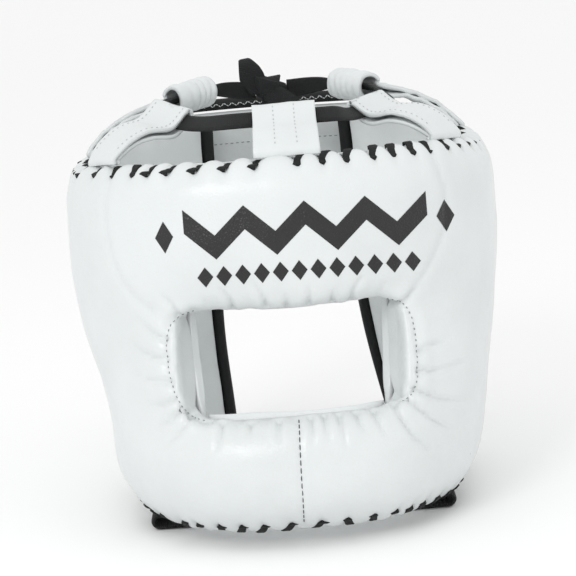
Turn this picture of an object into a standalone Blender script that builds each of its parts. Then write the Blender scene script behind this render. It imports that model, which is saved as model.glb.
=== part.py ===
"""Boxing headgear with a face bar: padded white leather with laced rims and a tied crown.

The face looks along -Y, +X is the wearer's left and the picture's right, and +Z is up. Lengths
are in metres. The headgear stands on its chin strap and on the lower edges of its two wings, and
its origin is the middle of its footprint.
"""
import math
from collections import namedtuple
from functools import lru_cache

import bmesh
import bpy
from mathutils import Vector

# Outer shell: overall sizes, measured from the upright axis between the ears
SHELL_WIDTH = 0.2400
FOREHEAD_DEPTH = 0.1190
BAR_REACH = 0.0250
BACK_DEPTH = 0.1270
SHELL_BOTTOM = 0.0090
WINDOW_BOTTOM = 0.0660
WINDOW_TOP = 0.1250
FRONT_RIM = 0.1990
WINDOW_WIDTH = 0.1260

# How far the rims rise and fall on the way round
EAR_DIP = 0.0070
BACK_RISE = 0.0060
REST_DROP = 0.0087
REAR_HALF_GAP = 0.0450

# Padding, from the outer leather to the face of the lining
PAD_WALL = 0.0360
WING_WALL = 0.0190
LINING_WALL = 0.0100
RIM_WALL = 0.0110
TOP_TUCK = 0.0080
BOTTOM_TUCK = 0.0070
WING_TUCK = 0.0040
WINDOW_TUCK = 0.0040
SEAM_GAP = 0.0004

# Smoothing draws the cage in by these lengths at the rims and at the window's edges
RIM_SPARE = 0.0007
WINDOW_SPARE = 0.0030

# Bindings and the rear panel
BINDING_WIDTH = 0.0075
BINDING_PROUD = 0.0010
BINDING_SINK = 0.0022
PANEL_HALF_ANGLE = 36.0
PANEL_BOTTOM = 0.1060
PANEL_TOP = 0.2070
PANEL_WALL = 0.0090
PANEL_SINK = 0.0026
PANEL_ROUND = 0.0025

# Crown lace and its leather tabs
LACE_WIDTH = 0.0105
LACE_WALL = 0.0020
TAB_WALL = 0.0022
TAB_CLEARANCE = 0.0005
TAB_RISE = 0.0030
TAB_SEAT = 0.0015
LACE_OVERRUN = 0.0080
LACE_SLACK = 0.7
SLEEVE_RADIUS = 0.0076
KNOT_SIZE = Vector((0.018, 0.013, 0.014))
BOW_LOOP_LENGTH = 0.0105
BOW_TAIL_LENGTH = 0.024
BOW_TAIL_SAG = 0.004

# Chin strap
STRAP_WIDTH = 0.0300
STRAP_WALL = 0.0025
STRAP_PLACE = -0.0600
STRAP_HALF_SPAN = 0.0830
ROOT_REACH = 0.0220

# Steps in the bends of the thin bands
TAB_TURNS = 6
SLEEVE_TURNS = 12
LACE_STEPS = 6
ROOT_TURNS = 6

# Cage: columns run round the head from the middle of the face, rows are the sections below
FRONT_COLUMNS = 3
SIDE_COLUMNS = 8
COLUMNS = FRONT_COLUMNS + SIDE_COLUMNS
THIN_FROM_COLUMN = 6

LEVELS = {
    "bar": (SHELL_BOTTOM - RIM_SPARE, WINDOW_BOTTOM + WINDOW_SPARE),
    "window": (WINDOW_BOTTOM + WINDOW_SPARE, WINDOW_TOP - WINDOW_SPARE),
    "forehead": (WINDOW_TOP - WINDOW_SPARE, FRONT_RIM + RIM_SPARE),
}

# Sections of the outer leather from the bottom rim up. Share places the section between the two
# levels of its zone. Width, front, bar and back are shares of half the width, of the forehead's
# depth, of the bar's reach and of the back's depth. Square is the exponent of the outline: 2 is
# an ellipse. The gaps are where each wing ends at the back, as shares of the rear half gap.
Section = namedtuple("Section", "zone share width front bar back square left_gap right_gap")
SECTIONS = (
    Section("bar", 0.00, 0.810, 0.99, 0.60, 0.86, 2.6, 1.06, 1.70),
    Section("bar", 0.25, 0.860, 1.00, 0.98, 0.91, 2.6, 1.05, 1.55),
    Section("bar", 0.70, 0.890, 1.00, 1.06, 0.94, 2.6, 1.04, 1.34),
    Section("bar", 1.00, 0.920, 1.00, 0.75, 0.96, 2.5, 1.03, 1.24),
    Section("window", 0.50, 0.962, 0.99, 0.25, 0.98, 2.4, 1.03, 1.16),
    Section("window", 1.00, 0.995, 0.99, 0.00, 0.99, 2.3, 1.04, 1.12),
    Section("forehead", 0.25, 1.010, 1.01, 0.00, 1.00, 2.3, 1.05, 1.10),
    Section("forehead", 0.60, 1.012, 1.01, 0.00, 1.00, 2.3, 1.06, 1.10),
    Section("forehead", 0.88, 1.006, 1.00, 0.00, 1.00, 2.3, 1.06, 1.10),
    Section("forehead", 1.00, 0.985, 0.98, 0.00, 0.99, 2.3, 1.06, 1.10),
)
TOP_ROW = len(SECTIONS) - 1
WINDOW_ROWS = (3, 5)

# The rims by the angle from the face, as shares of the ear dip, the back rise and the rest drop
Rim = namedtuple("Rim", "angle dip rise drop")
RIMS = (
    Rim(0.0, 0.0, 0.0, 0.0),
    Rim(45.0, 0.1, 0.0, 0.0),
    Rim(90.0, 1.0, 0.0, 0.0),
    Rim(125.0, 0.4, 0.4, 1.0),
    Rim(180.0, 0.0, 1.0, 1.0),
)

# Tabs that hold the crown lace. The roots stand on the top rim between two angles from the face.
# The fold's two ends are shares of half the width, of the forehead's or the back's depth, and of the
# crown's height over the front rim. Flat is how far below its fold a tab stays flat, and belly how
# far it bows out below that, both as shares of the crown's height.
CROWN_HEIGHT = 0.0240
Tab = namedtuple("Tab", "name root_angles fold_start fold_end flat belly sleeve")
TABS = (
    Tab("front_tab", (-6.0, 12.0), (-0.090, -0.664, -0.04), (0.185, -0.664, -0.04), 0.46, 0.04, False),
    Tab("left_front_tab", (-50.0, -66.0), (-0.375, -0.420, -0.10), (-0.525, -0.285, 0.12),
        0.56, 0.22, False),
    Tab("right_front_tab", (48.0, 64.0), (0.350, -0.420, -0.20), (0.498, -0.285, -0.06),
        0.56, 0.22, False),
    Tab("left_back_tab", (-101.0, -121.0), (-0.471, 0.205, 0.00), (-0.312, 0.378, 0.11),
        0.32, 0.25, True),
    Tab("right_back_tab", (101.0, 121.0), (0.471, 0.205, -0.03), (0.324, 0.378, 0.06),
        0.32, 0.25, True),
)
KNOT_SHARES = (0.0, 0.528, -0.04)

MATERIALS = {
    "white_leather": ((0.83, 0.85, 0.85), 0.42),
    "lining_leather": ((0.66, 0.69, 0.69), 0.55),
    "black_lace": ((0.018, 0.019, 0.020), 0.75),
    "black_webbing": ((0.015, 0.016, 0.017), 0.80),
    "black_binding": ((0.020, 0.021, 0.022), 0.70),
}


def clear_scene():
    """Remove every object that the file starts with."""
    for item in list(bpy.data.objects):
        bpy.data.objects.remove(item, do_unlink=True)


def mix(start, end, share):
    """The value at a share of the way from start to end."""
    return start + (end - start) * share


def make_material(name, kind):
    """A plain principled material of one of the five kinds."""
    color, roughness = MATERIALS[kind]
    material = bpy.data.materials.new(name)
    material.use_nodes = True
    shader = material.node_tree.nodes["Principled BSDF"]
    shader.inputs["Base Color"].default_value = (*color, 1.0)
    shader.inputs["Roughness"].default_value = roughness
    shader.inputs["Metallic"].default_value = 0.0
    return material


def section_height(section):
    """Height of a section on the middle line of the face."""
    low, high = LEVELS[section.zone]
    return mix(low, high, section.share)


def section_at(height):
    """The outline between the two sections that lie round a height."""
    heights = [section_height(section) for section in SECTIONS]
    upper = 1
    while upper < TOP_ROW and heights[upper] < height:
        upper += 1
    share = (height - heights[upper - 1]) / (heights[upper] - heights[upper - 1])
    share = min(max(share, 0.0), 1.0)
    below, above = SECTIONS[upper - 1], SECTIONS[upper]
    values = [mix(below[k], above[k], share) for k in range(2, len(below))]
    return Section(below.zone, share, *values)


def half_sizes(section, angle):
    """Half width and half depth of a section on the side of the head that an angle is on."""
    width = section.width * SHELL_WIDTH / 2
    if math.cos(math.radians(angle)) > 0:
        return width, section.front * FOREHEAD_DEPTH + section.bar * BAR_REACH
    return width, section.back * BACK_DEPTH


def radius(section, angle):
    """Distance of the outline from the axis at an angle from the face."""
    width, depth = half_sizes(section, angle)
    across = abs(math.sin(math.radians(angle))) / width
    along = abs(math.cos(math.radians(angle))) / depth
    return (across ** section.square + along ** section.square) ** (-1 / section.square)


def outer_point(angle, height, depth):
    """Point under the outer leather at an angle, a height and a depth into the padding."""
    section = section_at(height)
    width, reach = half_sizes(section, angle)
    distance = radius(section, angle)
    x = distance * math.sin(math.radians(angle))
    y = -distance * math.cos(math.radians(angle))
    power = section.square - 1
    normal = Vector((
        math.copysign((abs(x) / width) ** power / width, x),
        math.copysign((abs(y) / reach) ** power / reach, y),
        0.0,
    )).normalized()
    return Vector((x, y, height)) - normal * depth


def angle_for(section, x, low, high):
    """Angle between low and high at which the outline stands x away from the middle plane."""
    rising = low < 90
    for _ in range(40):
        middle = (low + high) / 2
        beyond = radius(section, middle) * math.sin(math.radians(middle)) > x
        if beyond == rising:
            high = middle
        else:
            low = middle
    return (low + high) / 2


@lru_cache(maxsize=None)
def column_angle(column, row):
    """Angle of a cage column in a row, negative on the picture's left."""
    section = SECTIONS[row]
    side = -1 if column < 0 else 1
    gap = section.left_gap if side < 0 else section.right_gap
    count = abs(column)
    if count <= FRONT_COLUMNS:
        return side * angle_for(section, WINDOW_WIDTH / 2 * count / FRONT_COLUMNS, 0, 90)
    window = angle_for(section, WINDOW_WIDTH / 2, 0, 90)
    end = angle_for(section, gap * REAR_HALF_GAP, 90, 180)
    return side * mix(window, end, (count - FRONT_COLUMNS) / SIDE_COLUMNS)


def rim_at(angle):
    """Dip, rise and drop of the rims at an angle from the face."""
    angle = min(abs(angle), 180.0)
    after = 1
    while RIMS[after].angle < angle:
        after += 1
    before, after = RIMS[after - 1], RIMS[after]
    share = (angle - before.angle) / (after.angle - before.angle)
    share = share * share * (3 - 2 * share)
    return Rim(angle, *(mix(before[k], after[k], share) for k in (1, 2, 3)))


def top_rim(angle):
    """Height of the top rim at an angle from the face."""
    rim = rim_at(angle)
    return FRONT_RIM - rim.dip * EAR_DIP + rim.rise * BACK_RISE


def row_height(row, angle):
    """Height of a cage row at an angle, between the rims that rise and fall."""
    section = SECTIONS[row]
    low, high = LEVELS[section.zone]
    if section.zone == "bar":
        low -= rim_at(angle).drop * REST_DROP
    if section.zone == "forehead":
        high = top_rim(angle) + RIM_SPARE
    return mix(low, high, section.share)


def in_window(column, row):
    """Whether a place in the cage lies in the eye window, its edges counted in."""
    return abs(column) <= FRONT_COLUMNS and WINDOW_ROWS[0] <= row <= WINDOW_ROWS[1]


def layer_depths(column, row):
    """Depths of the outer leather, of the seam over the lining and of the lining's face."""
    thinned = min(max(abs(column) - THIN_FROM_COLUMN, 0) / (COLUMNS - THIN_FROM_COLUMN), 1.0)
    outer, inner = 0.0, mix(PAD_WALL, WING_WALL, thinned)
    if row == 0:
        outer, inner = BOTTOM_TUCK, BOTTOM_TUCK + RIM_WALL
    elif row == TOP_ROW:
        outer, inner = TOP_TUCK, TOP_TUCK + RIM_WALL
    elif abs(column) >= COLUMNS:
        outer, inner = WING_TUCK, WING_TUCK + RIM_WALL
    elif in_window(column, row):
        outer, inner = WINDOW_TUCK, inner - WINDOW_TUCK
    split = inner - (inner - outer) * LINING_WALL / PAD_WALL
    return outer, split, inner


def place(column, row, depth):
    """Point of the cage at a column, a row and a depth into the padding."""
    angle = column_angle(column, row)
    return outer_point(angle, row_height(row, angle), depth)


def mapped_grid(columns, rows, mapping):
    """Flat grid of faces whose corners are moved by mapping(across, up), both from 0 to 1."""
    mesh = bmesh.new()
    bmesh.ops.create_grid(mesh, x_segments=columns, y_segments=rows, size=1.0)
    for vertex in mesh.verts:
        vertex.co = mapping((vertex.co.x + 1) / 2, (vertex.co.y + 1) / 2)
    return mesh


def add_part(name, mesh, kind, parts, root):
    """Turn a bmesh into a named object with its own material, under the root empty."""
    bmesh.ops.recalc_face_normals(mesh, faces=mesh.faces)
    data = bpy.data.meshes.new(name)
    mesh.to_mesh(data)
    mesh.free()
    data.materials.append(make_material(name + "_" + kind, kind))
    data.shade_smooth()
    part = bpy.data.objects.new(name, data)
    part.parent = root
    parts.objects.link(part)
    return part


def add_wall(part, thickness, offset=0.0):
    """Give an open surface its thickness."""
    wall = part.modifiers.new("Wall", "SOLIDIFY")
    wall.thickness = thickness
    wall.offset = offset
    wall.use_even_offset = True


def add_smoothing(part):
    """Round a coarse cage once."""
    smooth = part.modifiers.new("Smooth", "SUBSURF")
    smooth.levels = 1
    smooth.render_levels = 1


def thicken(mesh, outer, inner):
    """Extrude a flat cage and move its two sides by outer(column, row) and inner(column, row)."""
    grown = bmesh.ops.extrude_face_region(mesh, geom=mesh.faces[:])
    lower = {part for part in grown["geom"] if isinstance(part, bmesh.types.BMVert)}
    for vertex in mesh.verts:
        column, row = vertex.co.x, round(vertex.co.y)
        vertex.co = inner(column, row) if vertex in lower else outer(column, row)


def add_pad(name, columns, rows, layers, kind, parts, root, window=False):
    """Pad between two layers of the padding, over a range of cage columns and rows."""
    first, last = columns
    bottom, top = rows
    mesh = mapped_grid(last - first, top - bottom,
                       lambda across, up: Vector((mix(first, last, across), mix(bottom, top, up), 0)))
    if window:
        middles = [(face, face.calc_center_median()) for face in mesh.faces]
        open_faces = [face for face, middle in middles if in_window(middle.x, middle.y)]
        bmesh.ops.delete(mesh, geom=open_faces, context="FACES")
    under = 0.0 if layers[0] == 0 else SEAM_GAP
    inset = 0.0 if layers[0] == 0 else SEAM_GAP / 0.015

    def edge(column):
        if abs(column - first) < 0.01:
            return column + inset
        if abs(column - last) < 0.01:
            return column - inset
        return column

    def outer(column, row):
        return place(edge(column), row, layer_depths(round(column), row)[layers[0]] + under)

    def inner(column, row):
        return place(edge(column), row, layer_depths(round(column), row)[layers[1]])

    thicken(mesh, outer, inner)
    pad = add_part(name, mesh, kind, parts, root)
    add_smoothing(pad)
    return pad


def add_shell_and_lining(parts, root):
    """The padded shell with its eye window and the four pads of its lining."""
    add_pad("outer_shell", (-COLUMNS, COLUMNS), (0, TOP_ROW), (0, 1), "white_leather", parts, root,
            window=True)
    below, above = WINDOW_ROWS
    front = FRONT_COLUMNS
    lining = "lining_leather"
    add_pad("forehead_lining", (-front, front), (above, TOP_ROW), (1, 2), lining, parts, root)
    add_pad("bar_lining", (-front, front), (0, below), (1, 2), lining, parts, root)
    add_pad("left_lining", (-COLUMNS, -front), (0, TOP_ROW), (1, 2), lining, parts, root)
    add_pad("right_lining", (front, COLUMNS), (0, TOP_ROW), (1, 2), lining, parts, root)


def add_wing_binding(name, side, parts, root):
    """Black binding along the rear edge of a wing."""
    mesh = mapped_grid(1, TOP_ROW, lambda across, up: Vector((across, up * TOP_ROW, 0)))

    def strip(beyond):
        def corner(across, row):
            outer, _, inner = layer_depths(side * COLUMNS, row)
            depth = mix(outer - BINDING_PROUD, inner + BINDING_PROUD, across)
            edge = place(side * COLUMNS, row, depth)
            inward = place(side * (COLUMNS - 1), row, depth)
            run = Vector((edge.x - inward.x, edge.y - inward.y, 0)).normalized()
            return edge + run * beyond
        return corner

    thicken(mesh, strip(SEAM_GAP - BINDING_SINK), strip(BINDING_WIDTH))
    binding = add_part(name, mesh, "black_binding", parts, root)
    add_smoothing(binding)


def add_bevel(part, width):
    """Round the edges of a plain wall."""
    bevel = part.modifiers.new("Round", "BEVEL")
    bevel.width = width
    bevel.segments = 2
    bevel.limit_method = "ANGLE"


def add_rear_panel(parts, root):
    """Padded panel that joins the wings at the back, and the binding on its top edge."""
    def face(bottom, top):
        def corner(across, up):
            angle = 180.0 + mix(-PANEL_HALF_ANGLE, PANEL_HALF_ANGLE, across)
            return outer_point(angle, mix(bottom, top, up), PANEL_SINK)
        return corner

    panel = add_part("rear_panel", mapped_grid(10, 3, face(PANEL_BOTTOM, PANEL_TOP)),
                     "white_leather", parts, root)
    add_wall(panel, PANEL_WALL, 1.0)
    add_bevel(panel, PANEL_ROUND)
    low = PANEL_TOP + SEAM_GAP
    binding = add_part("rear_panel_binding", mapped_grid(10, 1, face(low, low + BINDING_WIDTH)),
                       "black_binding", parts, root)
    add_wall(binding, PANEL_WALL, 1.0)
    add_bevel(binding, PANEL_ROUND / 2)


def add_ribbon(name, points, widths, thickness, kind, parts, root):
    """Flat band along points, its width across each point given by a vector from edge to edge."""
    last = len(points) - 1

    def corner(across, up):
        index = round(up * last)
        return points[index] + widths[index] * (across - 0.5)

    band = add_part(name, mapped_grid(1, last, corner), kind, parts, root)
    add_wall(band, thickness)
    return band


def crown_point(shares):
    """Place over the crown, from its shares of half the width, of the depth and of the height."""
    across, along, up = shares
    depth = FOREHEAD_DEPTH if along < 0 else BACK_DEPTH
    height = FRONT_RIM + CROWN_HEIGHT * (1 + up)
    return Vector((across * SHELL_WIDTH / 2, along * depth, height))


def rim_top_point(angle):
    """Middle of the top rim's edge at an angle from the face."""
    return outer_point(angle, top_rim(angle) + TAB_SEAT, TOP_TUCK + RIM_WALL / 2)


def tab_frame(tab):
    """Run of a tab's fold, direction from its root to the fold, and its outward normal."""
    start, end = crown_point(tab.fold_start), crown_point(tab.fold_end)
    run = (end - start).normalized()
    away = (start + end) / 2 - rim_top_point(mix(*tab.root_angles, 0.5))
    away = (away - run * away.dot(run)).normalized()
    normal = run.cross(away).normalized()
    if normal.dot(Vector((start.x + end.x, start.y + end.y, 0))) < 0:
        normal = -normal
    return run, away, normal


def tab_path(tab, across):
    """Points of a tab from its root over the lace and back, at a share of its width."""
    _, away, normal = tab_frame(tab)
    root = rim_top_point(mix(*tab.root_angles, across))
    fold = crown_point(tab.fold_start).lerp(crown_point(tab.fold_end), across)
    closed = (TAB_WALL + TAB_CLEARANCE) / 2
    if tab.sleeve:
        open_half, start_turn, count = SLEEVE_RADIUS, 150, SLEEVE_TURNS
    else:
        open_half = (LACE_WALL + TAB_WALL) / 2 + TAB_CLEARANCE
        start_turn, count = 90, TAB_TURNS
    neck = fold - away * tab.flat * CROWN_HEIGHT
    angle = mix(*tab.root_angles, across)
    outward = outer_point(angle, FRONT_RIM, 0.0) - outer_point(angle, FRONT_RIM, PAD_WALL)
    legs = [(root, outward.normalized() * closed)]
    root = root + Vector((0, 0, TAB_RISE))
    for share in (0.0, 0.33, 0.67):
        apart = closed if tab.sleeve else mix(closed, open_half, min(share * 1.5, 1))
        belly = normal * tab.belly * CROWN_HEIGHT * 4 * share * (1 - share)
        facing = outward.normalized().lerp(normal, 0.5 + share / 2).normalized()
        legs.append((root.lerp(neck, share) + belly, facing * apart))
    turns = [math.radians(start_turn * (1 - 2 * step / count)) for step in range(count + 1)]
    if not tab.sleeve:
        legs.append((neck, normal * open_half))
    eye = [fold + (away * math.cos(turn) + normal * math.sin(turn)) * open_half for turn in turns]
    out = [middle + apart for middle, apart in legs]
    back = [middle - apart for middle, apart in reversed(legs)]
    return out + eye + back


def add_tab(tab, parts, root):
    """One leather tab, folded over the lace and sewn to the rim by both its ends."""
    paths = [tab_path(tab, across) for across in (0.0, 0.5, 1.0)]
    last = len(paths[0]) - 1

    def corner(across, up):
        return paths[round(across * 2)][round(up * last)]

    part = add_part(tab.name, mapped_grid(2, last, corner), "white_leather", parts, root)
    add_wall(part, TAB_WALL)


def lace_in_tab(tab):
    """The lace's two ends inside a tab and its width vector there."""
    run, away, _ = tab_frame(tab)
    back = Vector((0, 0, 0)) if tab.sleeve else away * LACE_WIDTH / 2
    start = crown_point(tab.fold_start) - back - run * LACE_OVERRUN
    end = crown_point(tab.fold_end) - back + run * LACE_OVERRUN
    return start, end, run, away * LACE_WIDTH


def bend(start, start_run, end, end_run, share):
    """Point on a smooth curve that leaves start and reaches end along the given directions."""
    reach = (end - start).length * LACE_SLACK
    square, cube = share * share, share * share * share
    return (start * (2 * cube - 3 * square + 1) + start_run * reach * (cube - 2 * square + share)
            + end * (3 * square - 2 * cube) + end_run * reach * (cube - square))


def crown_route():
    """Points and width vectors of the lace from one side of the knot round to the other."""
    order = ("left_back_tab", "left_front_tab", "front_tab", "right_front_tab", "right_back_tab")
    tabs = {tab.name: tab for tab in TABS}
    knot_edge = Vector((KNOT_SIZE.x / 2 + SEAM_GAP, 0, 0))
    level = Vector((0, 0, LACE_WIDTH))
    stops = [(crown_point(KNOT_SHARES) - knot_edge, Vector((-1, 0.25, 0)), level)]
    for name in order:
        start, end, run, width = lace_in_tab(tabs[name])
        ends = [(start, run, width), (end, run, width)]
        if name.startswith("left"):
            ends = [(end, -run, width), (start, -run, width)]
        stops += ends
    stops.append((crown_point(KNOT_SHARES) + knot_edge, Vector((-1, -0.25, 0)), level))
    points, widths = [stops[0][0]], [stops[0][2]]
    for number in range(1, len(stops)):
        before, after = stops[number - 1], stops[number]
        straight = number % 2 == 0
        steps = 2 if straight else LACE_STEPS
        for step in range(1, steps + 1):
            share = step / steps
            if straight:
                points.append(before[0].lerp(after[0], share))
            else:
                points.append(bend(before[0], before[1], after[0], after[1], share))
            widths.append(before[2].lerp(after[2], share).normalized() * LACE_WIDTH)
    return points, widths


def add_crown(parts, root):
    """The tabs, the lace that runs through them and the bow that ties it at the back."""
    for tab in TABS:
        add_tab(tab, parts, root)
    points, widths = crown_route()
    add_ribbon("crown_lace", points, widths, LACE_WALL, "black_lace", parts, root)
    knot = bmesh.new()
    bmesh.ops.create_uvsphere(knot, u_segments=12, v_segments=8, radius=0.5)
    for vertex in knot.verts:
        vertex.co = crown_point(KNOT_SHARES) + Vector([a * b for a, b in zip(vertex.co, KNOT_SIZE)])
    add_part("bow_knot", knot, "black_lace", parts, root)
    add_bow_loop(parts, root)
    add_bow_tail(parts, root)


def add_bow_loop(parts, root):
    """The bow's loop, a fold of lace that stands up from the knot."""
    foot = crown_point(KNOT_SHARES) + Vector((-0.65 * KNOT_SIZE.x, 0, 0.55 * KNOT_SIZE.z))
    rise = Vector((-0.05, 0, 1)).normalized()
    wide = Vector((1, 0, 0.12)).normalized() * LACE_WIDTH
    points = []
    for share, apart in ((0.0, 1.0), (0.45, 1.3), (0.85, 1.2), (1.0, 0.0), (0.85, -1.2),
                         (0.45, -1.3), (0.0, -1.0)):
        points.append(foot + rise * BOW_LOOP_LENGTH * share + Vector((0, LACE_WALL * apart, 0)))
    add_ribbon("bow_loop", points, [wide] * len(points), LACE_WALL, "black_lace", parts, root)


def add_bow_tail(parts, root):
    """The lace's free end, which hangs from the knot towards the front."""
    foot = crown_point(KNOT_SHARES) + Vector((
        0.11 * KNOT_SIZE.x,
        -KNOT_SIZE.y / 2 - LACE_WALL / 2,
        -0.21 * KNOT_SIZE.z,
    ))
    fall = Vector((0.80, -0.30, -0.52)).normalized()
    wide = Vector((0.54, 0.1, 0.84)).normalized() * LACE_WIDTH
    points = []
    for step in range(5):
        share = step / 4
        sag = Vector((0, 0, -BOW_TAIL_SAG * share ** 2))
        points.append(foot + fall * BOW_TAIL_LENGTH * share + sag)
    add_ribbon("bow_tail", points, [wide] * len(points), LACE_WALL, "black_lace", parts, root)


def add_chin_strap(parts, root):
    """Chin strap that lies flat under the shell, and its two ends folded up to the rim."""
    across = Vector((0, STRAP_WIDTH, 0))
    floor = STRAP_WALL / 2
    upper = SHELL_BOTTOM - SEAM_GAP - STRAP_WALL / 2
    turn = (upper - floor) / 2
    bend_x = STRAP_HALF_SPAN - turn - STRAP_WALL / 2
    inner_x = STRAP_HALF_SPAN - ROOT_REACH
    for name, side in (("left_strap_root", -1), ("right_strap_root", 1)):
        route = [(bend_x - ROOT_REACH / 2, upper)]
        for step in range(ROOT_TURNS + 1):
            angle = math.pi * step / ROOT_TURNS
            route.append((bend_x + turn * math.sin(angle), floor + turn + turn * math.cos(angle)))
        route.append((inner_x, floor))
        points = [Vector((side * x, STRAP_PLACE, z)) for x, z in route]
        add_ribbon(name, points, [across] * len(points), STRAP_WALL, "black_webbing", parts, root)
    reach = inner_x - SEAM_GAP
    points = [Vector((reach * share, STRAP_PLACE, floor)) for share in (-1, -0.5, 0, 0.5, 1)]
    add_ribbon("chin_strap", points, [across] * len(points), STRAP_WALL, "white_leather",
               parts, root)


def stand_on_origin(parts, root):
    """Move the headgear so that the middle of its footprint is the origin."""
    bpy.context.view_layer.update()
    depsgraph = bpy.context.evaluated_depsgraph_get()
    corners = []
    for part in parts.objects:
        if part.type == "MESH":
            shape = part.evaluated_get(depsgraph)
            corners += [vertex.co.copy() for vertex in shape.to_mesh().vertices]
            shape.to_mesh_clear()
    low = [min(corner[axis] for corner in corners) for axis in range(3)]
    high = [max(corner[axis] for corner in corners) for axis in range(3)]
    root.location = (-(low[0] + high[0]) / 2, -(low[1] + high[1]) / 2, -low[2])


def build():
    """Build the whole headgear."""
    clear_scene()
    parts = bpy.data.collections.new("boxing_headgear")
    bpy.context.scene.collection.children.link(parts)
    root = bpy.data.objects.new("headgear_origin", None)
    parts.objects.link(root)
    add_shell_and_lining(parts, root)
    add_wing_binding("left_wing_binding", -1, parts, root)
    add_wing_binding("right_wing_binding", 1, parts, root)
    add_rear_panel(parts, root)
    add_crown(parts, root)
    add_chin_strap(parts, root)
    stand_on_origin(parts, root)


build()
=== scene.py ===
"""Looks of the boxing headgear: laced white leather pads, tabs, crown lace and straps.

Lengths are in metres, in the frame's own axes: the face looks along -Y, +X is the picture's right
and +Z is up. Places read off the photograph are in its pixels, once it is turned upright.
"""
import math
from collections import namedtuple
from functools import lru_cache

import bmesh
import bpy
import numpy as np
from mathutils import Matrix, Vector, noise
from mathutils.bvhtree import BVHTree


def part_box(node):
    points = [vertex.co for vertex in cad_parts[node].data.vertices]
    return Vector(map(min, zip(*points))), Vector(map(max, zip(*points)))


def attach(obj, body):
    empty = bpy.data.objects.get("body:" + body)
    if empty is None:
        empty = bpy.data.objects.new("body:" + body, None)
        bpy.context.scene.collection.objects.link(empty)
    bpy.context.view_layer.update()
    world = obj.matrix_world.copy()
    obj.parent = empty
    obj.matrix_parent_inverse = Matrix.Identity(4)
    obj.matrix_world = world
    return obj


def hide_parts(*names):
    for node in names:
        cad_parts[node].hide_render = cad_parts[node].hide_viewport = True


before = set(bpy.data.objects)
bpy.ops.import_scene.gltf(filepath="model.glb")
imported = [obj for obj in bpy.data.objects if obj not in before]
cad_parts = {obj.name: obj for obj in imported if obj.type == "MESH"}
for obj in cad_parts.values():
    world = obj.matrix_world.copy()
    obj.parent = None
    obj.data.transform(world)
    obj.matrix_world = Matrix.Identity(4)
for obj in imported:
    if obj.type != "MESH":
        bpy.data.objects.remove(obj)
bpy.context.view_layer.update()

# Camera: it looks at the target from a little above the face, rolled as the photograph is
CAMERA_TARGET = Vector((0.0008, 0.0050, 0.1146))
CAMERA_DISTANCE = 1.25
CAMERA_ELEVATION = 9.5
CAMERA_ROLL = 4.5
CAMERA_LENS = 138.0
SENSOR_WIDTH = 36.0
PICTURE_SIZE = 576
UPRIGHT_MIDDLE = (287.5, 288.0)

# Outer shell, as the frame's solids have it, but for the left wing's edge beside the window
SHELL_WIDTH = 0.2400
FOREHEAD_DEPTH = 0.1190
BAR_REACH = 0.0250
BACK_DEPTH = 0.1270
SHELL_BOTTOM = 0.0090
WINDOW_BOTTOM = 0.0660
WINDOW_TOP = 0.1250
FRONT_RIM = 0.1990
WINDOW_WIDTH = 0.1260
EAR_DIP = 0.0070
BACK_RISE = 0.0060
REST_DROP = 0.0087
REAR_HALF_GAP = 0.0450
PAD_WALL = 0.0360
WING_WALL = 0.0190
LINING_WALL = 0.0100
RIM_WALL = 0.0110
TOP_TUCK = 0.0080
BOTTOM_TUCK = 0.0070
WING_TUCK = 0.0040
WINDOW_TUCK = 0.0040
SEAM_GAP = 0.0004
RIM_SPARE = 0.0007
WINDOW_SPARE = 0.0030

# Bindings, rear panel, crown and strap, as the frame's solids have them
BINDING_WIDTH = 0.0075
BINDING_PROUD = 0.0010
BINDING_SINK = 0.0022
PANEL_HALF_ANGLE = 36.0
PANEL_BOTTOM = 0.1060
PANEL_TOP = 0.2070
PANEL_WALL = 0.0090
PANEL_SINK = 0.0026
LACE_WIDTH = 0.0105
LACE_WALL = 0.0020
TAB_WALL = 0.0022
TAB_CLEARANCE = 0.0005
TAB_RISE = 0.0030
TAB_SEAT = 0.0015
LACE_OVERRUN = 0.0080
LACE_SLACK = 0.7
SIDE_SLACK = 0.2
SLEEVE_RADIUS = 0.0076
KNOT_SIZE = Vector((0.018, 0.013, 0.014))
STRAP_WIDTH = 0.0300
STRAP_WALL = 0.0025
STRAP_PLACE = -0.0600
STRAP_HALF_SPAN = 0.0830
ROOT_REACH = 0.0220
CROWN_HEIGHT = 0.0240
BOW_LOOP_LENGTH = 0.0105
BOW_TAIL_LENGTH = 0.024
BOW_TAIL_SAG = 0.004

FRONT_COLUMNS = 3
SIDE_COLUMNS = 8
COLUMNS = FRONT_COLUMNS + SIDE_COLUMNS
THIN_FROM_COLUMN = 6

# The frame stands on the middle of its footprint, this far from the axis between the ears
strap_low, strap_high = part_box("chin_strap")
HOME = Vector((0.0, (strap_low.y + strap_high.y) / 2 - STRAP_PLACE, 0.0))

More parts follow.
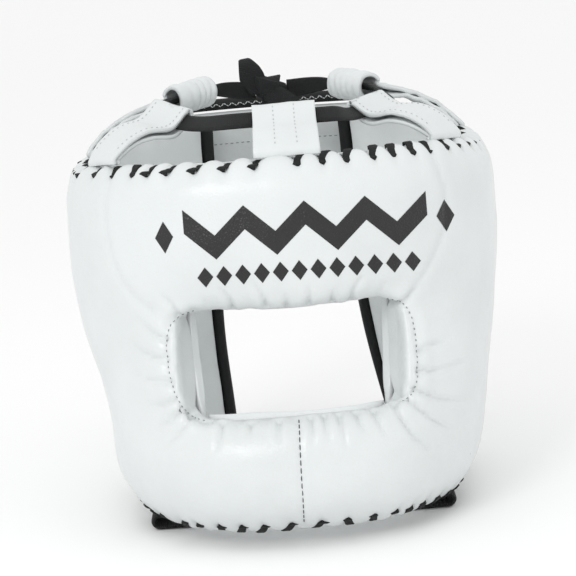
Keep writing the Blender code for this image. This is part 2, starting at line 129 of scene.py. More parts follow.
LEVELS = {
    "bar": (SHELL_BOTTOM - RIM_SPARE, WINDOW_BOTTOM + WINDOW_SPARE),
    "window": (WINDOW_BOTTOM + WINDOW_SPARE, WINDOW_TOP - WINDOW_SPARE),
    "forehead": (WINDOW_TOP - WINDOW_SPARE, FRONT_RIM + RIM_SPARE),
}
Section = namedtuple("Section", "zone share width front bar back square left_gap right_gap")
SECTIONS = (
    Section("bar", 0.00, 0.810, 0.99, 0.60, 0.86, 2.6, 1.06, 1.70),
    Section("bar", 0.25, 0.860, 1.00, 0.98, 0.91, 2.6, 1.05, 1.55),
    Section("bar", 0.70, 0.890, 1.00, 1.06, 0.94, 2.6, 1.08, 1.34),
    Section("bar", 1.00, 0.920, 1.00, 0.75, 0.96, 2.5, 1.11, 1.24),
    Section("window", 0.50, 0.962, 0.99, 0.25, 0.98, 2.4, 1.11, 1.16),
    Section("window", 1.00, 0.995, 0.99, 0.00, 0.99, 2.3, 1.045, 1.12),
    Section("forehead", 0.25, 1.010, 1.01, 0.00, 1.00, 2.3, 1.05, 1.10),
    Section("forehead", 0.60, 1.012, 1.01, 0.00, 1.00, 2.3, 1.06, 1.10),
    Section("forehead", 0.88, 1.006, 1.00, 0.00, 1.00, 2.3, 1.06, 1.10),
    Section("forehead", 1.00, 0.985, 0.98, 0.00, 0.99, 2.3, 1.06, 1.10),
)
TOP_ROW = len(SECTIONS) - 1
WINDOW_ROWS = (3, 5)

Rim = namedtuple("Rim", "angle dip rise drop")
RIMS = (
    Rim(0.0, 0.0, 0.0, 0.0),
    Rim(45.0, 0.1, 0.0, 0.0),
    Rim(90.0, 1.0, 0.0, 0.0),
    Rim(125.0, 0.4, 0.4, 1.0),
    Rim(180.0, 0.0, 1.0, 1.0),
)

Tab = namedtuple("Tab", "name root_angles fold_start fold_end flat belly sleeve")
TABS = (
    Tab("front_tab", (-6.0, 12.0), (-0.090, -0.664, -0.04), (0.185, -0.664, -0.04), 0.46, 0.04, False),
    Tab("left_front_tab", (-50.0, -66.0), (-0.375, -0.420, -0.10), (-0.525, -0.285, 0.12),
        0.56, 0.22, False),
    Tab("right_front_tab", (48.0, 64.0), (0.350, -0.420, -0.20), (0.498, -0.285, -0.06),
        0.56, 0.22, False),
    Tab("left_back_tab", (-101.0, -121.0), (-0.471, 0.205, 0.00), (-0.312, 0.378, 0.11),
        0.32, 0.25, True),
    Tab("right_back_tab", (101.0, 121.0), (0.471, 0.205, -0.03), (0.324, 0.378, 0.06),
        0.32, 0.25, True),
)
KNOT_SHARES = (0.0, 0.528, -0.04)

# How much of the lace's overrun shows beyond each tab
OVERRUN_SHARES = {"front_tab": 1.0, "left_front_tab": 0.0, "right_front_tab": 0.0,
                  "left_back_tab": 0.3, "right_back_tab": 0.3}

# Turns of the knot: whether each goes round the ring, its size and its lean
KNOT_TURNS = ((False, 1.0, 0.10), (True, 0.95, -0.30), (False, 0.90, 0.40), (False, 0.96, -0.42))
KNOT_STEPS = 28
TAIL_STEPS = 16

# Outline of the bow's loop: share of its length, distance from its middle in lace walls, and width in
# lace widths
LOOP_OUTLINE = (
    (-0.9, 1.5, 1.00), (-0.35, 1.3, 1.30), (0.0, 1.2, 1.42), (0.5, 1.5, 1.20), (0.85, 1.3, 0.88),
    (1.04, 0.0, 0.66),
    (0.85, -1.3, 0.88), (0.5, -1.5, 1.20), (0.0, -1.2, 1.42), (-0.35, -1.3, 1.30), (-0.9, -1.5, 1.00),
)

# Where the whip lacing pulls the rims in, across the upright photograph in its pixels, and how far
# apart the pulls are further round, where it doesn't show
TOP_PULLS = (89, 104, 120, 141, 156, 176, 203, 233, 263, 308, 333, 357, 384, 403, 423, 440, 457, 468)
BOTTOM_PULLS = (141, 163, 178, 200, 222, 244, 272, 303, 330, 357, 379, 394, 408)
PULL_SPACING = 0.0145
WHIP_WIDTH = 0.0052
SIDE_WHIP_WIDTH = 0.0080
WHIP_WALL = 0.0012
WHIP_REACH = 0.0090
WHIP_STEPS = 12
WHIP_FROM_TOP = 43.0
WHIP_FROM_BOTTOM = 32.0
WHIP_TO = -32.0
WINDOW_SHARPNESS = 0.75
JAMB_SHARPNESS = 1.0

# Seams and creases of the shell, in the upright photograph's pixels
FOREHEAD_SEAMS = (
    ((124, 150), (118, 165), (112, 180), (109, 210), (112, 235), (120, 262), (133, 285), (152, 302)),
    ((434, 150), (441, 165), (447, 180), (452, 205), (450, 235), (440, 260), (425, 285), (408, 303)),
)
BAR_SEAM = ((288, 420), (287, 450), (286, 490), (285, 526))

WINDOW_SEAMS = (
    ((192, 303), (178, 307), (168, 315), (163, 328), (162, 345), (163, 365), (167, 385), (174, 400),
     (186, 411), (200, 415)),
    ((385, 306), (398, 310), (406, 320), (410, 335), (411, 352), (410, 375), (408, 392), (402, 404),
     (390, 411)),
)
GATHERS = (
    ((176, 306), (172, 298), (166, 290), (160, 284)),
    ((206, 308), (205, 300), (203, 294)),
    ((231, 309), (230, 300), (226, 292), (220, 284)),
    ((264, 309), (263, 299), (258, 288), (252, 278)),
    ((284, 308), (285, 300), (284, 294)),
    ((306, 308), (308, 298), (308, 288)),
    ((330, 306), (331, 300), (332, 294)),
    ((349, 306), (352, 297), (357, 289), (363, 283)),
    ((376, 306), (380, 298), (385, 291)),
    ((400, 312), (408, 304), (418, 296)),
)
PUCKERS = (
    ((212, 418), (208, 430), (202, 444)),
    ((240, 420), (238, 430)),
    ((268, 421), (267, 433), (268, 441)),
    ((300, 420), (301, 432), (300, 446)),
    ((313, 419), (315, 432), (316, 442)),
    ((328, 419), (331, 434), (333, 452)),
    ((345, 418), (349, 428), (352, 436)),
    ((363, 417), (368, 430), (374, 444)),
    ((384, 414), (392, 430), (402, 446), (416, 462)),
    ((398, 408), (410, 420), (424, 432), (440, 442)),
    ((404, 398), (420, 406), (438, 412), (456, 414)),
    ((411, 380), (426, 382), (444, 380), (460, 374)),
    ((413, 360), (428, 356), (446, 350)),
    ((181, 408), (170, 420), (156, 432)),
    ((172, 402), (158, 410), (142, 416)),
    ((166, 390), (150, 394), (132, 394)),
    ((162, 372), (146, 370), (128, 362)),
    ((160, 350), (144, 344), (126, 332)),
    ((162, 330), (148, 320), (134, 306)),
)
# Lobes between the pulls: how high and how deep they go, how sharp the pull is and how far it fades
Lobes = namedtuple("Lobes", "height dent sharp fade")
TOP_LOBES = Lobes(0.0019, 0.0022, 2.4, 0.0046)
BOTTOM_LOBES = Lobes(0.0008, 0.0020, 3.0, 0.0060)

# Seams: the lines, how deep and wide each sinks, and how far the leather swells beside it
Seam = namedtuple("Seam", "lines depth width swell")
SEAMS = (
    Seam(FOREHEAD_SEAMS, 0.0009, 0.0016, 0.0004),
    Seam((BAR_SEAM,), 0.0010, 0.0015, 0.0),
    Seam(WINDOW_SEAMS, 0.0012, 0.0014, 0.0008),
)
SWELL_PLACE = 0.006
SWELL_WIDTH = 0.004
CREASE_DEPTH = 0.0019
CREASE_WIDTH = 0.0012
CREASE_SWELL_PLACE = 0.004
CREASE_SWELL_WIDTH = 0.003

# Slack of the left side: how deep it sinks and at what height
Slack = namedtuple("Slack", "depth height")
SLACKS = (Slack(0.0040, 0.066), Slack(0.0014, 0.175))
SLACK_REACH = 0.030
SLACK_FULL_AT = 0.11

# Unevenness of the pads: how high and how wide
SHELL_RELIEF = ((0.0007, 0.030), (0.0003, 0.011))
LINING_RELIEF = ((0.0008, 0.022),)

# Rows of stitches: distance from one to the next, the share that a stitch fills, thickness and lift
Stitches = namedtuple("Stitches", "spacing share thick lift")
WINDOW_STITCHES = Stitches(0.0030, 0.45, 0.0005, 0.0002)
BAR_STITCHES = Stitches(0.0040, 0.80, 0.0005, 0.0002)
TAB_STITCHES = Stitches(0.0030, 0.60, 0.0005, TAB_WALL / 2 + 0.0001)
ZIGZAG_STITCHES = Stitches(0.0026, 0.85, 0.0006, 0.0002)
PANEL_STITCHES = Stitches(0.0034, 0.60, 0.0005, 0.0002)
STITCH_SIDES = 6
PANEL_ROW_DROPS = (0.006, 0.020)

PRINT_LIFT = 0.00015
BAND_HEIGHT = 24
LOZENGES = 12
SLEEVE_GATHER = 0.0004
TAB_CREASE = 0.0008

NOISE_SHIFT = Vector((3.1, 7.7, 1.3))

# Light and floor
Light = namedtuple("Light", "name place size power")
LIGHTS = (Light("key", (-0.6, -1.2, 0.9), 0.5, 5.0), Light("fill", (1.2, -0.9, 0.7), 0.9, 1.0))
LIGHT_TARGET = Vector((0, 0, 0.1))
SKY_STRENGTH = 0.98
FLOOR_TONE = 0.95


def mix(start, end, share):
    """The value at a share of the way from start to end."""
    return start + (end - start) * share


# Camera


def camera_axes():
    """Place of the camera and its right, up and forward directions before the roll."""
    tilt = math.radians(CAMERA_ELEVATION)
    place = CAMERA_TARGET + CAMERA_DISTANCE * Vector((0, -math.cos(tilt), math.sin(tilt)))
    forward = (CAMERA_TARGET - place).normalized()
    right = Vector((1, 0, 0))
    return place, right, right.cross(forward), forward


def add_camera():
    """Camera at the photograph's angle."""
    place, right, up, forward = camera_axes()
    data = bpy.data.cameras.new("photo_camera")
    data.type = "PERSP"
    data.lens = CAMERA_LENS
    data.sensor_width = SENSOR_WIDTH
    data.sensor_fit = "HORIZONTAL"
    data.clip_start = 0.01
    data.clip_end = 100.0
    camera = bpy.data.objects.new("photo_camera", data)
    bpy.context.scene.collection.objects.link(camera)
    upright = Matrix((right, up, -forward)).transposed().to_4x4()
    roll = Matrix.Rotation(math.radians(-CAMERA_ROLL), 4, "Z")
    camera.matrix_world = Matrix.Translation(place) @ upright @ roll
    bpy.context.scene.camera = camera


def picture_ray(x, y):
    """Place of the camera and direction of a pixel of the upright photograph."""
    place, right, up, forward = camera_axes()
    step = SENSOR_WIDTH / CAMERA_LENS / PICTURE_SIZE
    aim = forward + right * (x - UPRIGHT_MIDDLE[0]) * step + up * (UPRIGHT_MIDDLE[1] - y) * step
    return place, aim.normalized()


def picture_x(point):
    """How far across the upright photograph a point shows, in its pixels."""
    place, right, _, forward = camera_axes()
    step = SENSOR_WIDTH / CAMERA_LENS / PICTURE_SIZE
    return UPRIGHT_MIDDLE[0] + (point - place).dot(right) / (point - place).dot(forward) / step


# The shell's outline, from the frame's own sizes


def section_height(section):
    """Height of a section on the middle line of the face."""
    low, high = LEVELS[section.zone]
    return mix(low, high, section.share)


def section_at(height):
    """The outline between the two sections that lie round a height."""
    heights = [section_height(section) for section in SECTIONS]
    upper = 1
    while upper < TOP_ROW and heights[upper] < height:
        upper += 1
    share = (height - heights[upper - 1]) / (heights[upper] - heights[upper - 1])
    share = min(max(share, 0.0), 1.0)
    below, above = SECTIONS[upper - 1], SECTIONS[upper]
    values = [mix(below[k], above[k], share) for k in range(2, len(below))]
    return Section(below.zone, share, *values)


def half_sizes(section, angle):
    """Half width and half depth of a section on the side of the head that an angle is on."""
    width = section.width * SHELL_WIDTH / 2
    if math.cos(math.radians(angle)) > 0:
        return width, section.front * FOREHEAD_DEPTH + section.bar * BAR_REACH
    return width, section.back * BACK_DEPTH


def radius(section, angle):
    """Distance of the outline from the axis at an angle from the face."""
    width, depth = half_sizes(section, angle)
    across = abs(math.sin(math.radians(angle))) / width
    along = abs(math.cos(math.radians(angle))) / depth
    return (across ** section.square + along ** section.square) ** (-1 / section.square)


def outer_point(angle, height, depth):
    """Point under the outer leather at an angle, a height and a depth into the padding."""
    section = section_at(height)
    width, reach = half_sizes(section, angle)
    distance = radius(section, angle)
    x = distance * math.sin(math.radians(angle))
    y = -distance * math.cos(math.radians(angle))
    power = section.square - 1
    normal = Vector((
        math.copysign((abs(x) / width) ** power / width, x),
        math.copysign((abs(y) / reach) ** power / reach, y),
        0.0,
    )).normalized()
    return Vector((x, y, height)) - normal * depth + HOME


def angle_for(section, x, low, high):
    """Angle between low and high at which the outline stands x away from the middle plane."""
    rising = low < 90
    for _ in range(40):
        middle = (low + high) / 2
        beyond = radius(section, middle) * math.sin(math.radians(middle)) > x
        if beyond == rising:
            high = middle
        else:
            low = middle
    return (low + high) / 2


@lru_cache(maxsize=None)
def column_angle(column, row):
    """Angle of a cage column in a row, negative on the picture's left."""
    section = SECTIONS[row]
    side = -1 if column < 0 else 1
    gap = section.left_gap if side < 0 else section.right_gap
    count = abs(column)
    if count <= FRONT_COLUMNS:
        return side * angle_for(section, WINDOW_WIDTH / 2 * count / FRONT_COLUMNS, 0, 90)
    window = angle_for(section, WINDOW_WIDTH / 2, 0, 90)
    end = angle_for(section, gap * REAR_HALF_GAP, 90, 180)
    return side * mix(window, end, (count - FRONT_COLUMNS) / SIDE_COLUMNS)


def rim_at(angle):
    """Dip, rise and drop of the rims at an angle from the face."""
    angle = min(abs(angle), 180.0)
    after = 1
    while RIMS[after].angle < angle:
        after += 1
    before, after = RIMS[after - 1], RIMS[after]
    share = (angle - before.angle) / (after.angle - before.angle)
    share = share * share * (3 - 2 * share)
    return Rim(angle, *(mix(before[k], after[k], share) for k in (1, 2, 3)))


def top_rim(angle):
    """Height of the top rim at an angle from the face."""
    rim = rim_at(angle)
    return FRONT_RIM - rim.dip * EAR_DIP + rim.rise * BACK_RISE


def bottom_rim(angle):
    """Height of the bottom rim at an angle from the face."""
    return SHELL_BOTTOM - rim_at(angle).drop * REST_DROP


def row_height(row, angle):
    """Height of a cage row at an angle, between the rims that rise and fall."""
    section = SECTIONS[row]
    low, high = LEVELS[section.zone]
    if section.zone == "bar":
        low -= rim_at(angle).drop * REST_DROP
    if section.zone == "forehead":
        high = top_rim(angle) + RIM_SPARE
    return mix(low, high, section.share)


def in_window(column, row):
    """Whether a place in the cage lies in the eye window, its edges counted in."""
    return abs(column) <= FRONT_COLUMNS and WINDOW_ROWS[0] <= row <= WINDOW_ROWS[1]


def layer_depths(column, row):
    """Depths of the outer leather, of the seam over the lining and of the lining's face."""
    thinned = min(max(abs(column) - THIN_FROM_COLUMN, 0) / (COLUMNS - THIN_FROM_COLUMN), 1.0)
    outer, inner = 0.0, mix(PAD_WALL, WING_WALL, thinned)
    if row == 0:
        outer, inner = BOTTOM_TUCK, BOTTOM_TUCK + RIM_WALL
    elif row == TOP_ROW:
        outer, inner = TOP_TUCK, TOP_TUCK + RIM_WALL
    elif abs(column) >= COLUMNS:
        outer, inner = WING_TUCK, WING_TUCK + RIM_WALL
    elif in_window(column, row):
        outer, inner = WINDOW_TUCK, inner - WINDOW_TUCK
    split = inner - (inner - outer) * LINING_WALL / PAD_WALL
    return outer, split, inner


def place(column, row, depth):
    """Point of the cage at a column, a row and a depth into the padding."""
    angle = column_angle(column, row)
    return outer_point(angle, row_height(row, angle), depth)


# Meshes


def mapped_grid(columns, rows, mapping):
    """Flat grid of faces whose corners are moved by mapping(across, up), both from 0 to 1."""
    mesh = bmesh.new()
    bmesh.ops.create_grid(mesh, x_segments=columns, y_segments=rows, size=1.0)
    for vertex in mesh.verts:
        vertex.co = mapping((vertex.co.x + 1) / 2, (vertex.co.y + 1) / 2)
    return mesh


def thicken(mesh, outer, inner, beside_window=False, sharp_seam=False):
    """Extrude a flat cage and move its two sides by outer(column, row) and inner(column, row).

    The edges beside the window stay sharp, and the stitched seam there a little less so.
    """
    grown = bmesh.ops.extrude_face_region(mesh, geom=mesh.faces[:])
    lower = {part for part in grown["geom"] if isinstance(part, bmesh.types.BMVert)}
    for face in mesh.faces:
        face.material_index = 1 if all(vertex in lower for vertex in face.verts) else 0
    if beside_window:
        sharp = mesh.edges.layers.float.new("crease_edge")
        for edge in mesh.edges:
            ends = [(vertex.co.x, vertex.co.y) for vertex in edge.verts]
            beside = all(abs(abs(x) - FRONT_COLUMNS) < 0.01 and in_window(x, y) for x, y in ends)
            outside = not any(vertex in lower for vertex in edge.verts)
            if beside and outside and sharp_seam:
                edge[sharp] = WINDOW_SHARPNESS
            elif beside:
                edge[sharp] = JAMB_SHARPNESS
    for vertex in mesh.verts:
        column, row = vertex.co.x, round(vertex.co.y)
        vertex.co = inner(column, row) if vertex in lower else outer(column, row)
    bmesh.ops.recalc_face_normals(mesh, faces=mesh.faces)


def smoothed(cage, levels):
    """Mesh of a cage after some rounds of smoothing."""
    data = bpy.data.meshes.new("cage")
    cage.to_mesh(data)
    cage.free()
    data.materials.append(None)
    data.materials.append(None)
    holder = bpy.data.objects.new("cage", data)
    bpy.context.scene.collection.objects.link(holder)
    smooth = holder.modifiers.new("Smooth", "SUBSURF")
    smooth.levels = levels
    smooth.render_levels = levels
    shape = holder.evaluated_get(bpy.context.evaluated_depsgraph_get())
    fine = bpy.data.meshes.new_from_object(shape)
    bpy.data.objects.remove(holder)
    bpy.data.meshes.remove(data)
    return fine


def drop_hidden_side(mesh):
    """Remove the faces that lie against the lining, where nothing sees them."""
    work = bmesh.new()
    work.from_mesh(mesh)
    hidden = [face for face in work.faces if face.material_index == 1]
    bmesh.ops.delete(work, geom=hidden, context="FACES")
    work.to_mesh(mesh)
    work.free()


def empty_braid():
    """Mesh with flat coordinates and no faces yet, for ribbons to be joined into."""
    whole = bmesh.new()
    whole.loops.layers.uv.new("flat")
    return whole


def join_into(whole, mesh):
    """Add a finished mesh to a larger one."""
    part = bpy.data.meshes.new("part")
    mesh.to_mesh(part)
    mesh.free()
    whole.from_mesh(part)
    bpy.data.meshes.remove(part)


def places_of(mesh):
    """Vertex places and normals of a mesh as two arrays."""
    places = np.empty(len(mesh.vertices) * 3)
    mesh.vertices.foreach_get("co", places)
    normals = np.array([tuple(item.vector) for item in mesh.vertex_normals])
    return places.reshape(-1, 3), normals


def move_to(mesh, places):
    """Put the vertices of a mesh at new places."""
    mesh.vertices.foreach_set("co", places.ravel())
    mesh.update()


def tree_of(*meshes):
    """Search tree of the faces of some meshes together."""
    work = bmesh.new()
    for mesh in meshes:
        work.from_mesh(mesh)
    tree = BVHTree.FromBMesh(work)
    work.free()
    return tree


def add_piece(name, mesh, material):
    """Turn a mesh into a piece that rides on the headgear."""
    if isinstance(mesh, bmesh.types.BMesh):
        data = bpy.data.meshes.new(name)
        bmesh.ops.recalc_face_normals(mesh, faces=mesh.faces)
        mesh.to_mesh(data)
        mesh.free()
    else:
        data = mesh
        data.name = name
    data.materials.clear()
    data.materials.append(material)
    data.polygons.foreach_set("material_index", [0] * len(data.polygons))
    data.shade_smooth()
    piece = bpy.data.objects.new(name, data)
    bpy.context.scene.collection.objects.link(piece)
    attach(piece, "root")
    return piece


def curve_through(points, steps):
    """Points on a smooth curve through some points, with steps between each two of them."""
    points = [Vector(point) for point in points]
    ends = [points[0] * 2 - points[1]] + points + [points[-1] * 2 - points[-2]]
    smooth = []
    for number in range(1, len(ends) - 2):
        before, start, end, after = ends[number - 1:number + 3]
        for step in range(steps):
            t = step / steps
            smooth.append(0.5 * (2 * start + (end - before) * t
                                 + (2 * before - 5 * start + 4 * end - after) * t * t
                                 + (3 * start - before - 3 * end + after) * t * t * t))
    smooth.append(points[-1])
    return smooth


# Materials


def new_material(name, color, roughness):
    """Principled material, its nodes, links and shader."""
    material = bpy.data.materials.new(name)
    material.use_nodes = True
    tree = material.node_tree
    shader = tree.nodes["Principled BSDF"]
    shader.inputs["Base Color"].default_value = (*color, 1.0)
    shader.inputs["Roughness"].default_value = roughness
    return material, tree, shader


def add_node(tree, kind, **inputs):
    """Node of a kind, with some of its inputs set."""
    node = tree.nodes.new(kind)
    for name, value in inputs.items():
        node.inputs[name.replace("_", " ")].default_value = value
    return node


def leather(name, color, dark, roughness, grain=0.25):
    """Soft coated leather: pebbled grain, fine creases and a little unevenness of tone."""
    material, tree, shader = new_material(name, color, roughness)
    where = tree.nodes.new("ShaderNodeTexCoord")
    tone = add_node(tree, "ShaderNodeTexNoise", Scale=22.0, Detail=3.0)
    ramp = tree.nodes.new("ShaderNodeValToRGB")
    ramp.color_ramp.elements[0].position = 0.35
    ramp.color_ramp.elements[0].color = (*dark, 1.0)
    ramp.color_ramp.elements[1].position = 0.65
    ramp.color_ramp.elements[1].color = (*color, 1.0)
    pebbles = add_node(tree, "ShaderNodeTexVoronoi", Scale=900.0)
    folds = add_node(tree, "ShaderNodeTexNoise", Scale=160.0, Detail=6.0)
    fine = add_node(tree, "ShaderNodeBump", Strength=grain, Distance=0.0003)
    soft = add_node(tree, "ShaderNodeBump", Strength=grain, Distance=0.0008)
    gloss = add_node(tree, "ShaderNodeMapRange", To_Min=roughness - 0.06, To_Max=roughness + 0.08)
    link = tree.links.new
    for texture in (tone, pebbles, folds):
        link(where.outputs["Object"], texture.inputs["Vector"])
    link(tone.outputs["Fac"], ramp.inputs["Fac"])
    link(ramp.outputs["Color"], shader.inputs["Base Color"])
    link(pebbles.outputs["Distance"], fine.inputs["Height"])
    link(folds.outputs["Fac"], soft.inputs["Height"])
    link(soft.outputs["Normal"], fine.inputs["Normal"])
    link(fine.outputs["Normal"], shader.inputs["Normal"])
    link(folds.outputs["Fac"], gloss.inputs["Value"])
    link(gloss.outputs["Result"], shader.inputs["Roughness"])
    return material


def braid(name, color, ribs, roughness=0.8):
    """Flat woven tape whose ribs run along it, from the piece's own flat coordinates, with painted shade
    in the grooves between the ribs and painted highlight on their crests.
    """
    material, tree, shader = new_material(name, color, roughness)
    flat = tree.nodes.new("ShaderNodeUVMap")
    flat.uv_map = "flat"
    place_map = tree.nodes.new("ShaderNodeMapping")
    place_map.inputs["Scale"].default_value = (ribs, 900.0, 1.0)
    wave = add_node(tree, "ShaderNodeTexWave", Scale=1.0, Distortion=0.6, Detail=1.0)
    weave = add_node(tree, "ShaderNodeTexWave", Scale=0.32, Distortion=1.0)
    weave.bands_direction = "Y"
    both = tree.nodes.new("ShaderNodeMath")
    both.operation = "ADD"
    bump = add_node(tree, "ShaderNodeBump", Strength=0.9, Distance=0.0004)
    # Painted shade and painted highlight: the colour follows the rib waves of the bump, half as bright
    # in the grooves and nearly twice as bright on the crests
    rib_painted_shade = tree.nodes.new("ShaderNodeValToRGB")
    rib_painted_shade.color_ramp.elements[0].color = (*(value * 0.5 for value in color), 1.0)
    rib_painted_shade.color_ramp.elements[1].color = (*(value * 1.9 for value in color), 1.0)
    link = tree.links.new
    link(flat.outputs["UV"], place_map.inputs["Vector"])
    link(place_map.outputs["Vector"], wave.inputs["Vector"])
    link(place_map.outputs["Vector"], weave.inputs["Vector"])
    link(wave.outputs["Fac"], both.inputs[0])
    link(weave.outputs["Fac"], both.inputs[1])
    link(both.outputs["Value"], bump.inputs["Height"])
    link(bump.outputs["Normal"], shader.inputs["Normal"])
    link(wave.outputs["Fac"], rib_painted_shade.inputs["Fac"])
    link(rib_painted_shade.outputs["Color"], shader.inputs["Base Color"])
    return material


def thread(name, color):
    """Twisted sewing thread."""
    material, tree, shader = new_material(name, color, 0.6)
    where = tree.nodes.new("ShaderNodeTexCoord")
    twist = add_node(tree, "ShaderNodeTexNoise", Scale=1800.0, Detail=2.0)
    bump = add_node(tree, "ShaderNodeBump", Strength=0.5, Distance=0.0002)
    tree.links.new(where.outputs["Object"], twist.inputs["Vector"])
    tree.links.new(twist.outputs["Fac"], bump.inputs["Height"])
    tree.links.new(bump.outputs["Normal"], shader.inputs["Normal"])
    return material


WHITE = leather("white_leather", (0.70, 0.73, 0.73), (0.665, 0.695, 0.695), 0.30)
LINING = leather("lining_leather", (0.83, 0.86, 0.86), (0.79, 0.82, 0.82), 0.46)
BLACK = (0.012, 0.013, 0.014)
LACE = braid("black_lace", BLACK, 9.0)
WEBBING = braid("black_webbing", BLACK, 16.0)
BINDING = braid("black_binding", BLACK, 7.0)
PRINT = leather("black_print", (0.012, 0.012, 0.013), (0.008, 0.008, 0.009), 0.30, 0.9)
DARK_THREAD = thread("dark_thread", (0.035, 0.037, 0.040))
GREY_THREAD = thread("grey_thread", (0.25, 0.27, 0.28))
WHITE_THREAD = thread("white_thread", (0.50, 0.52, 0.52))


# The padded shell and its lining


def line_distance(places, line):
    """Distance of each place from a line of points."""
    nearest = np.full(len(places), 1.0)
    points = [np.array(point) for point in line]
    for start, end in zip(points[:-1], points[1:]):
        step = end - start
        share = np.clip((places - start) @ step / (step @ step), 0, 1)
        nearest = np.minimum(nearest, np.linalg.norm(places - start - share[:, None] * step, axis=1))
    return nearest


def on_shell(tree, pixels, steps=6):
    """Smooth line of points on the shell under some pixels of the upright photograph."""
    line = []
    for pixel in curve_through([(x, y, 0) for x, y in pixels], steps):
        hit = tree.ray_cast(*picture_ray(pixel.x, pixel.y))[0]
        if hit is not None:
            line.append(hit)
    return line


def pull_angle(x, top):
    """Angle at which the edge of a rim stands at a pixel across the upright photograph."""
    side = -1 if x < UPRIGHT_MIDDLE[0] else 1
    low, high = 0.0, 88.0
    for _ in range(24):
        angle = (low + high) / 2
        middle, outward, _ = rim_frame(side * angle, top)
        if (picture_x(middle + outward * RIM_WALL / 3) - x) * side > 0:
            high = angle
        else:
            low = angle
    return side * angle


def pull_angles(pulls, top):
    """Angles of the lacing's pulls all round a rim, those that the photograph shows first."""
    row = TOP_ROW if top else 0
    section = SECTIONS[row]
    angles = sorted(pull_angle(x, top) for x in pulls)
    for side, start in ((-1, angles[0]), (1, angles[-1])):
        angle = start
        limit = abs(column_angle(side * COLUMNS, row))
        while True:
            step = math.degrees(PULL_SPACING / radius(section, abs(angle)))
            angle += side * step
            if abs(angle) > limit - step * 0.4:
                break
            angles.append(angle)
    return sorted(angles)


def scallops(angles, places_angle, lobes):
    """Height of the lobes between the pulls of a lacing, at each angle."""
    edges = np.array(angles)
    after = np.clip(np.searchsorted(edges, places_angle), 1, len(edges) - 1)
    start, end = edges[after - 1], edges[after]
    share = np.clip((places_angle - start) / (end - start), 0, 1)
    return lobes.height - (lobes.height + lobes.dent) * np.abs(2 * share - 1) ** lobes.sharp


def unevenness(places, relief):
    """Smooth unevenness at each place, as high and as wide as the relief's rows say."""
    lift = np.zeros(len(places))
    for height, width in relief:
        lift += height * np.array([noise.noise(Vector(point) / width + NOISE_SHIFT) for point in places])
    return lift


def pad_mesh(columns, rows, layers, levels, window=False):
    """Fine mesh of a pad between two layers of the padding."""
    first, last = columns
    bottom, top = rows
    mesh = mapped_grid(last - first, top - bottom,
                       lambda across, up: Vector((mix(first, last, across), mix(bottom, top, up), 0)))
    if window:
        middles = [(face, face.calc_center_median()) for face in mesh.faces]
        open_faces = [face for face, middle in middles if in_window(middle.x, middle.y)]
        bmesh.ops.delete(mesh, geom=open_faces, context="FACES")
    under = 0.0 if layers[0] == 0 else SEAM_GAP
    inset = 0.0 if layers[0] == 0 else SEAM_GAP / 0.015

    def edge(column):
        if abs(column - first) < 0.01:
            return column + inset
        if abs(column - last) < 0.01:
            return column - inset
        return column

    def outer(column, row):
        return place(edge(column), row, layer_depths(round(column), row)[layers[0]] + under)

    def inner(column, row):
        return place(edge(column), row, layer_depths(round(column), row)[layers[1]])

    thicken(mesh, outer, inner, True, window)
    return smoothed(mesh, levels)


def hump(apart, width):
    """Smooth hump, one high where apart is nothing, that falls away over a width."""
    return np.exp(-(apart / width) ** 2)


def lobe_lift(places):
    """Height of the leather's lobes along both laced rims."""
    angles = np.degrees(np.arctan2(places[:, 0], HOME.y - places[:, 1]))
    below_top = np.clip(np.array([top_rim(angle) for angle in angles]) - places[:, 2], 0, 1)
    above_bottom = np.clip(places[:, 2] - np.array([bottom_rim(angle) for angle in angles]), 0, 1)
    top = scallops(pull_angles(TOP_PULLS, True), angles, TOP_LOBES)
    bottom = scallops(pull_angles(BOTTOM_PULLS, False), angles, BOTTOM_LOBES)
    return top * hump(below_top, TOP_LOBES.fade) + bottom * hump(above_bottom, BOTTOM_LOBES.fade)


def seam_lift(places, tree):
    """Sinking of the leather at its seams, and its swelling beside them."""
    lift = np.zeros(len(places))
    for seam in SEAMS:
        for pixels in seam.lines:
            apart = line_distance(places, on_shell(tree, pixels))
            lift -= seam.depth * hump(apart, seam.width)
            lift += seam.swell * hump(apart - SWELL_PLACE, SWELL_WIDTH)
    return lift


def crease_lift(places, tree):
    """Creases that run out from the window's edges and fade along their way."""
    lift = np.zeros(len(places))
    for pixels in GATHERS + PUCKERS:
        line = on_shell(tree, pixels)
        if len(line) < 2:
            continue
        apart = line_distance(places, line)
        reach = sum((after - before).length for before, after in zip(line[:-1], line[1:]))
        fade = 1 - np.clip(np.linalg.norm(places - np.array(line[0]), axis=1) / (reach * 1.1), 0, 1)
        lift -= CREASE_DEPTH * fade ** 0.7 * hump(apart, CREASE_WIDTH)
        lift += CREASE_DEPTH * 0.5 * fade * hump(apart - CREASE_SWELL_PLACE, CREASE_SWELL_WIDTH)
    return lift


def slack_lift(places):
    """Slack of the left cheek and temple, and the leather's own unevenness."""
    left_side = np.clip(-places[:, 0] / SLACK_FULL_AT, 0, 1) ** 2
    lift = unevenness(places, SHELL_RELIEF)
    for slack in SLACKS:
        lift -= slack.depth * left_side * hump(places[:, 2] - slack.height, SLACK_REACH)
    return lift


def shape_shell(mesh):
    """Pull the shell in at its lacing and seams, and let the leather bulge between them."""
    tree = tree_of(mesh)
    places, normals = places_of(mesh)
    lift = lobe_lift(places) + seam_lift(places, tree) + crease_lift(places, tree) + slack_lift(places)
    moved = places + normals * lift[:, None]
    moved[:, 2] = np.maximum(moved[:, 2], 0.0)
    move_to(mesh, moved)


